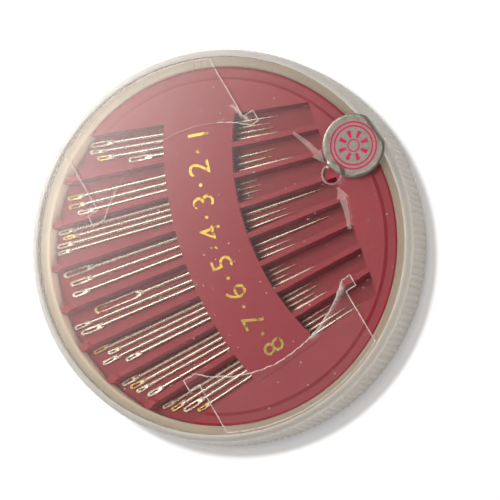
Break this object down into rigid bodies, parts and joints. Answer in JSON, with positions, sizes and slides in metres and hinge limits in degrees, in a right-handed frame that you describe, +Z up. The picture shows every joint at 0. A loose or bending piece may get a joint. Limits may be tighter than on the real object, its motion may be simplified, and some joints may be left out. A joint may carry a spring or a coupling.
{
  "type": "round needle compact",
  "caption": "Flat round compact for hand sewing needles: clear knurled lid that turns, ivory dish, crimson channelled insert with a bridge band, and loose steel needles.",
  "frame": {"origin": "middle of the compact's underside, on the plane it stands on", "axes": "+Z up through the clear lid, +X along the middle needles towards their points, +Y across the channels"},
  "size_m": [0.067, 0.067, 0.0109],
  "materials": {
    "dish": "moulded ivory polystyrene, satin",
    "insert": "moulded crimson polystyrene, satin",
    "lid": "clear crystal polystyrene, polished, lightly scratched",
    "foil_seal": "embossing foil with printed rings",
    "tape": "clear adhesive tape",
    "needle": "nickel-plated steel, polished, some eyes gilt"
  },
  "bodies": {
    "case": {"dish": "dish", "insert": "insert"},
    "lid": {"lid": "lid", "foil_seal": "foil_seal", "tape_upper": "tape", "tape_lower": "tape"},
    "needle_1_1": {"needle_1_1": "needle"},
    "needle_1_2": {"needle_1_2": "needle"},
    "needle_1_3": {"needle_1_3": "needle"},
    "needle_1_4": {"needle_1_4": "needle"},
    "needle_2_1": {"needle_2_1": "needle"},
    "needle_2_2": {"needle_2_2": "needle"},
    "needle_2_3": {"needle_2_3": "needle"},
    "needle_3_1": {"needle_3_1": "needle"},
    "needle_3_2": {"needle_3_2": "needle"},
    "needle_3_3": {"needle_3_3": "needle"},
    "needle_3_4": {"needle_3_4": "needle"},
    "needle_4_1": {"needle_4_1": "needle"},
    "needle_4_2": {"needle_4_2": "needle"},
    "needle_4_3": {"needle_4_3": "needle"},
    "needle_5_1": {"needle_5_1": "needle"},
    "needle_5_2": {"needle_5_2": "needle"},
    "needle_5_3": {"needle_5_3": "needle"},
    "needle_6_1": {"needle_6_1": "needle"},
    "needle_6_2": {"needle_6_2": "needle"},
    "needle_6_3": {"needle_6_3": "needle"},
    "needle_6_4": {"needle_6_4": "needle"},
    "needle_7_1": {"needle_7_1": "needle"},
    "needle_7_2": {"needle_7_2": "needle"},
    "needle_7_3": {"needle_7_3": "needle"},
    "needle_7_4": {"needle_7_4": "needle"},
    "needle_8_1": {"needle_8_1": "needle"},
    "needle_8_2": {"needle_8_2": "needle"},
    "needle_8_3": {"needle_8_3": "needle"},
    "needle_8_4": {"needle_8_4": "needle"}
  },
  "joints": [
    {"name": "lid_turn", "type": "hinge", "parent": "case", "child": "lid", "pos_m": [0, 0, 0.005], "axis": [0, 0, 1], "continuous": true},
    {"name": "needle_1_1_slide", "type": "slide", "parent": "case", "child": "needle_1_1", "axis": [0.9754, -0.2205, 0], "range_m": [0, 0.0064]},
    {"name": "needle_1_2_slide", "type": "slide", "parent": "case", "child": "needle_1_2", "axis": [0.9769, -0.2138, 0], "range_m": [-0.0009, 0.008]},
    {"name": "needle_1_3_slide", "type": "slide", "parent": "case", "child": "needle_1_3", "axis": [0.9797, -0.2003, 0], "range_m": [-0.0031, 0.0076]},
    {"name": "needle_1_4_slide", "type": "slide", "parent": "case", "child": "needle_1_4", "axis": [0.9818, -0.19, 0], "range_m": [-0.0096, 0.0072]},
    {"name": "needle_2_1_slide", "type": "slide", "parent": "case", "child": "needle_2_1", "axis": [0.99, -0.1413, 0], "range_m": [-0.0007, 0.0084]},
    {"name": "needle_2_2_slide", "type": "slide", "parent": "case", "child": "needle_2_2", "axis": [0.9914, -0.1308, 0], "range_m": [-0.0013, 0.0092]},
    {"name": "needle_2_3_slide", "type": "slide", "parent": "case", "child": "needle_2_3", "axis": [0.9925, -0.1225, 0], "range_m": [-0.0033, 0.006]},
    {"name": "needle_3_1_slide", "type": "slide", "parent": "case", "child": "needle_3_1", "axis": [0.9936, -0.1131, 0], "range_m": [-0.0001, 0.0127]},
    {"name": "needle_3_2_slide", "type": "slide", "parent": "case", "child": "needle_3_2", "axis": [0.994, -0.1095, 0], "range_m": [-0.0011, 0.0129]},
    {"name": "needle_3_3_slide", "type": "slide", "parent": "case", "child": "needle_3_3", "axis": [0.9948, -0.1022, 0], "range_m": [-0.0001, 0.0133]},
    {"name": "needle_3_4_slide", "type": "slide", "parent": "case", "child": "needle_3_4", "axis": [0.9953, -0.0972, 0], "range_m": [-0.0001, 0.0144]},
    {"name": "needle_4_1_slide", "type": "slide", "parent": "case", "child": "needle_4_1", "axis": [0.9986, -0.0534, 0], "range_m": [-0.001, 0.0032]},
    {"name": "needle_4_2_slide", "type": "slide", "parent": "case", "child": "needle_4_2", "axis": [0.9993, -0.0382, 0], "range_m": [-0.0019, 0.01]},
    {"name": "needle_4_3_slide", "type": "slide", "parent": "case", "child": "needle_4_3", "axis": [0.9999, -0.0162, 0], "range_m": [-0.0019, 0.0097]},
    {"name": "needle_5_1_slide", "type": "slide", "parent": "case", "child": "needle_5_1", "axis": [1, 0.0059, 0], "range_m": [-0.0047, 0.0034]},
    {"name": "needle_5_2_slide", "type": "slide", "parent": "case", "child": "needle_5_2", "axis": [0.9999, 0.0125, 0], "range_m": [-0.0002, 0.0113]},
    {"name": "needle_5_3_slide", "type": "slide", "parent": "case", "child": "needle_5_3", "axis": [0.9998, 0.0198, 0], "range_m": [-0.0008, 0.0106]},
    {"name": "needle_6_1_slide", "type": "slide", "parent": "case", "child": "needle_6_1", "axis": [0.9983, 0.058, 0], "range_m": [-0.0009, 0.0138]},
    {"name": "needle_6_2_slide", "type": "slide", "parent": "case", "child": "needle_6_2", "axis": [0.9978, 0.0661, 0], "range_m": [-0.0028, 0.0116]},
    {"name": "needle_6_3_slide", "type": "slide", "parent": "case", "child": "needle_6_3", "axis": [0.9973, 0.0741, 0], "range_m": [-0.0011, 0.0134]},
    {"name": "needle_6_4_slide", "type": "slide", "parent": "case", "child": "needle_6_4", "axis": [0.9966, 0.0823, 0], "range_m": [-0.0046, 0.0085]},
    {"name": "needle_7_1_slide", "type": "slide", "parent": "case", "child": "needle_7_1", "axis": [0.9931, 0.1175, 0], "range_m": [-0.0009, 0.0106]},
    {"name": "needle_7_2_slide", "type": "slide", "parent": "case", "child": "needle_7_2", "axis": [0.9921, 0.1257, 0], "range_m": [-0.0013, 0.009]},
    {"name": "needle_7_3_slide", "type": "slide", "parent": "case", "child": "needle_7_3", "axis": [0.9915, 0.1303, 0], "range_m": [-0.0015, 0.0102]},
    {"name": "needle_7_4_slide", "type": "slide", "parent": "case", "child": "needle_7_4", "axis": [0.9892, 0.1467, 0], "range_m": [-0.0021, 0.0076]},
    {"name": "needle_8_1_slide", "type": "slide", "parent": "case", "child": "needle_8_1", "axis": [0.9846, 0.1748, 0], "range_m": [-0.0012, 0.0081]},
    {"name": "needle_8_2_slide", "type": "slide", "parent": "case", "child": "needle_8_2", "axis": [0.9835, 0.1811, 0], "range_m": [-0.0015, 0.0083]},
    {"name": "needle_8_3_slide", "type": "slide", "parent": "case", "child": "needle_8_3", "axis": [0.9818, 0.19, 0], "range_m": [-0.0022, 0.0058]},
    {"name": "needle_8_4_slide", "type": "slide", "parent": "case", "child": "needle_8_4", "axis": [0.9792, 0.2029, 0], "range_m": [-0.0032, 0.0031]}
  ]
}
